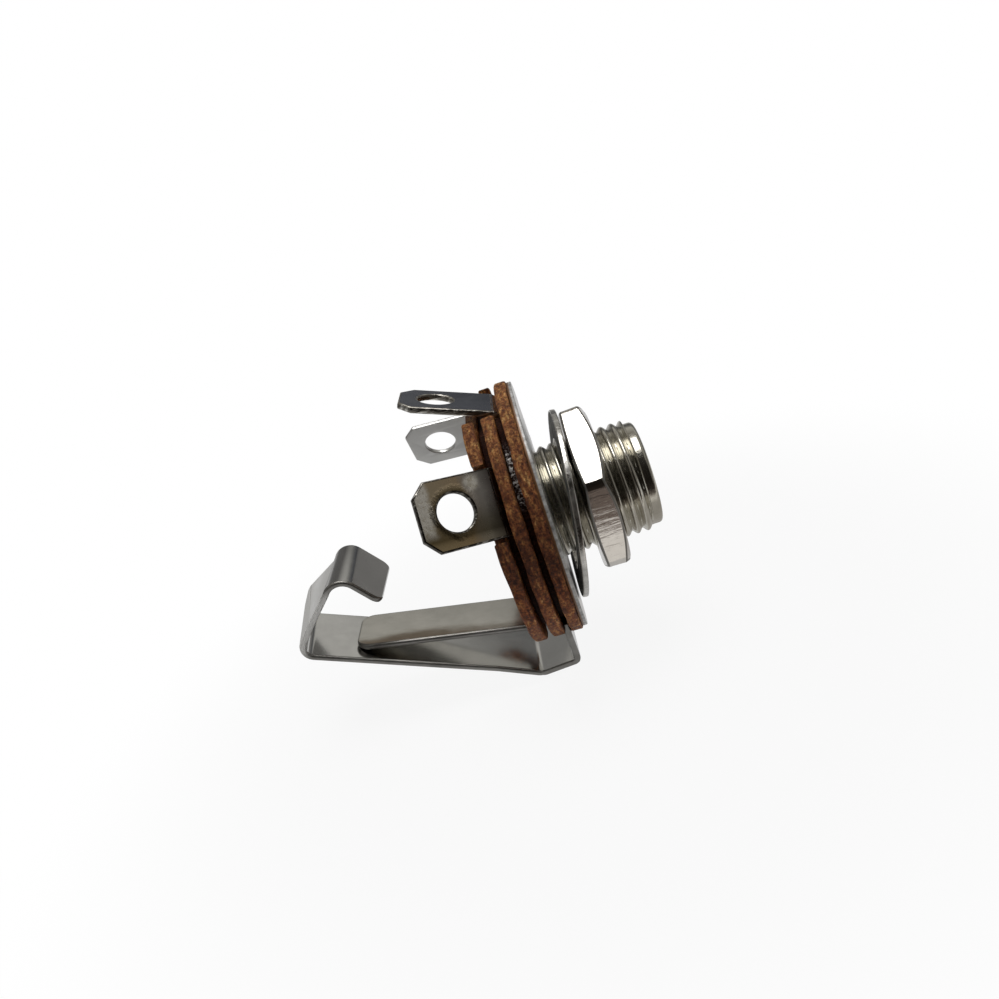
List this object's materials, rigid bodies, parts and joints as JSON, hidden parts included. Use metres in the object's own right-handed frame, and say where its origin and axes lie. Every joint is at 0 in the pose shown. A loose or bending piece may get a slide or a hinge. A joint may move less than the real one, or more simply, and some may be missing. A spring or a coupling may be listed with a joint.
{
  "type": "mono jack socket",
  "caption": "Switched mono jack socket: a threaded bushing clamps insulators and lugged contacts in a stack, with a hooked tip spring, a switch blade, a washer and a hex nut.",
  "frame": {"origin": "centre of the front plate's front face, which is the seat against the panel, on the bushing's axis", "axes": "+X out of the mouth along the bushing's axis, +Z away from the tip spring, towards the tip lug"},
  "size_m": [0.0316, 0.022, 0.0253],
  "materials": {
    "plated_bushing": "nickel-plated, fairly bright",
    "plated_contact": "nickel-plated spring sheet, satin",
    "plated_fastener": "nickel-plated, fairly bright",
    "laminate": "brown paper laminate with sawn, fibrous edges"
  },
  "bodies": {
    "socket": {"bushing": "plated_bushing", "sleeve_contact": "plated_contact", "front_insulator": "laminate", "middle_insulator": "laminate", "rear_insulator": "laminate", "switch_contact": "plated_contact", "insulating_tube": "laminate"},
    "tip_spring": {"tip_contact": "plated_contact"},
    "washer": {"flat_washer": "plated_fastener"},
    "nut": {"hex_nut": "plated_fastener"}
  },
  "joints": [
    {"name": "tip_flex", "type": "hinge", "parent": "socket", "child": "tip_spring", "pos_m": [-0.0024, 0, -0.012], "axis": [0, -1, 0], "range_deg": [0, 14], "stiffness_Nm_per_rad": 0.6, "deforming": ["tip_contact"]},
    {"name": "washer_slide", "type": "slide", "parent": "socket", "child": "washer", "axis": [1, 0, 0], "range_m": [-0.00009, 0.0033]},
    {"name": "nut_turn", "type": "hinge", "parent": "washer", "child": "nut", "pos_m": [0.00265, 0, 0], "axis": [1, 0, 0], "range_deg": [-40, 1440]}
  ],
  "couplings": [
    {"joint": "nut_turn", "follows": "washer_slide", "rad_per_m": 7570}
  ]
}
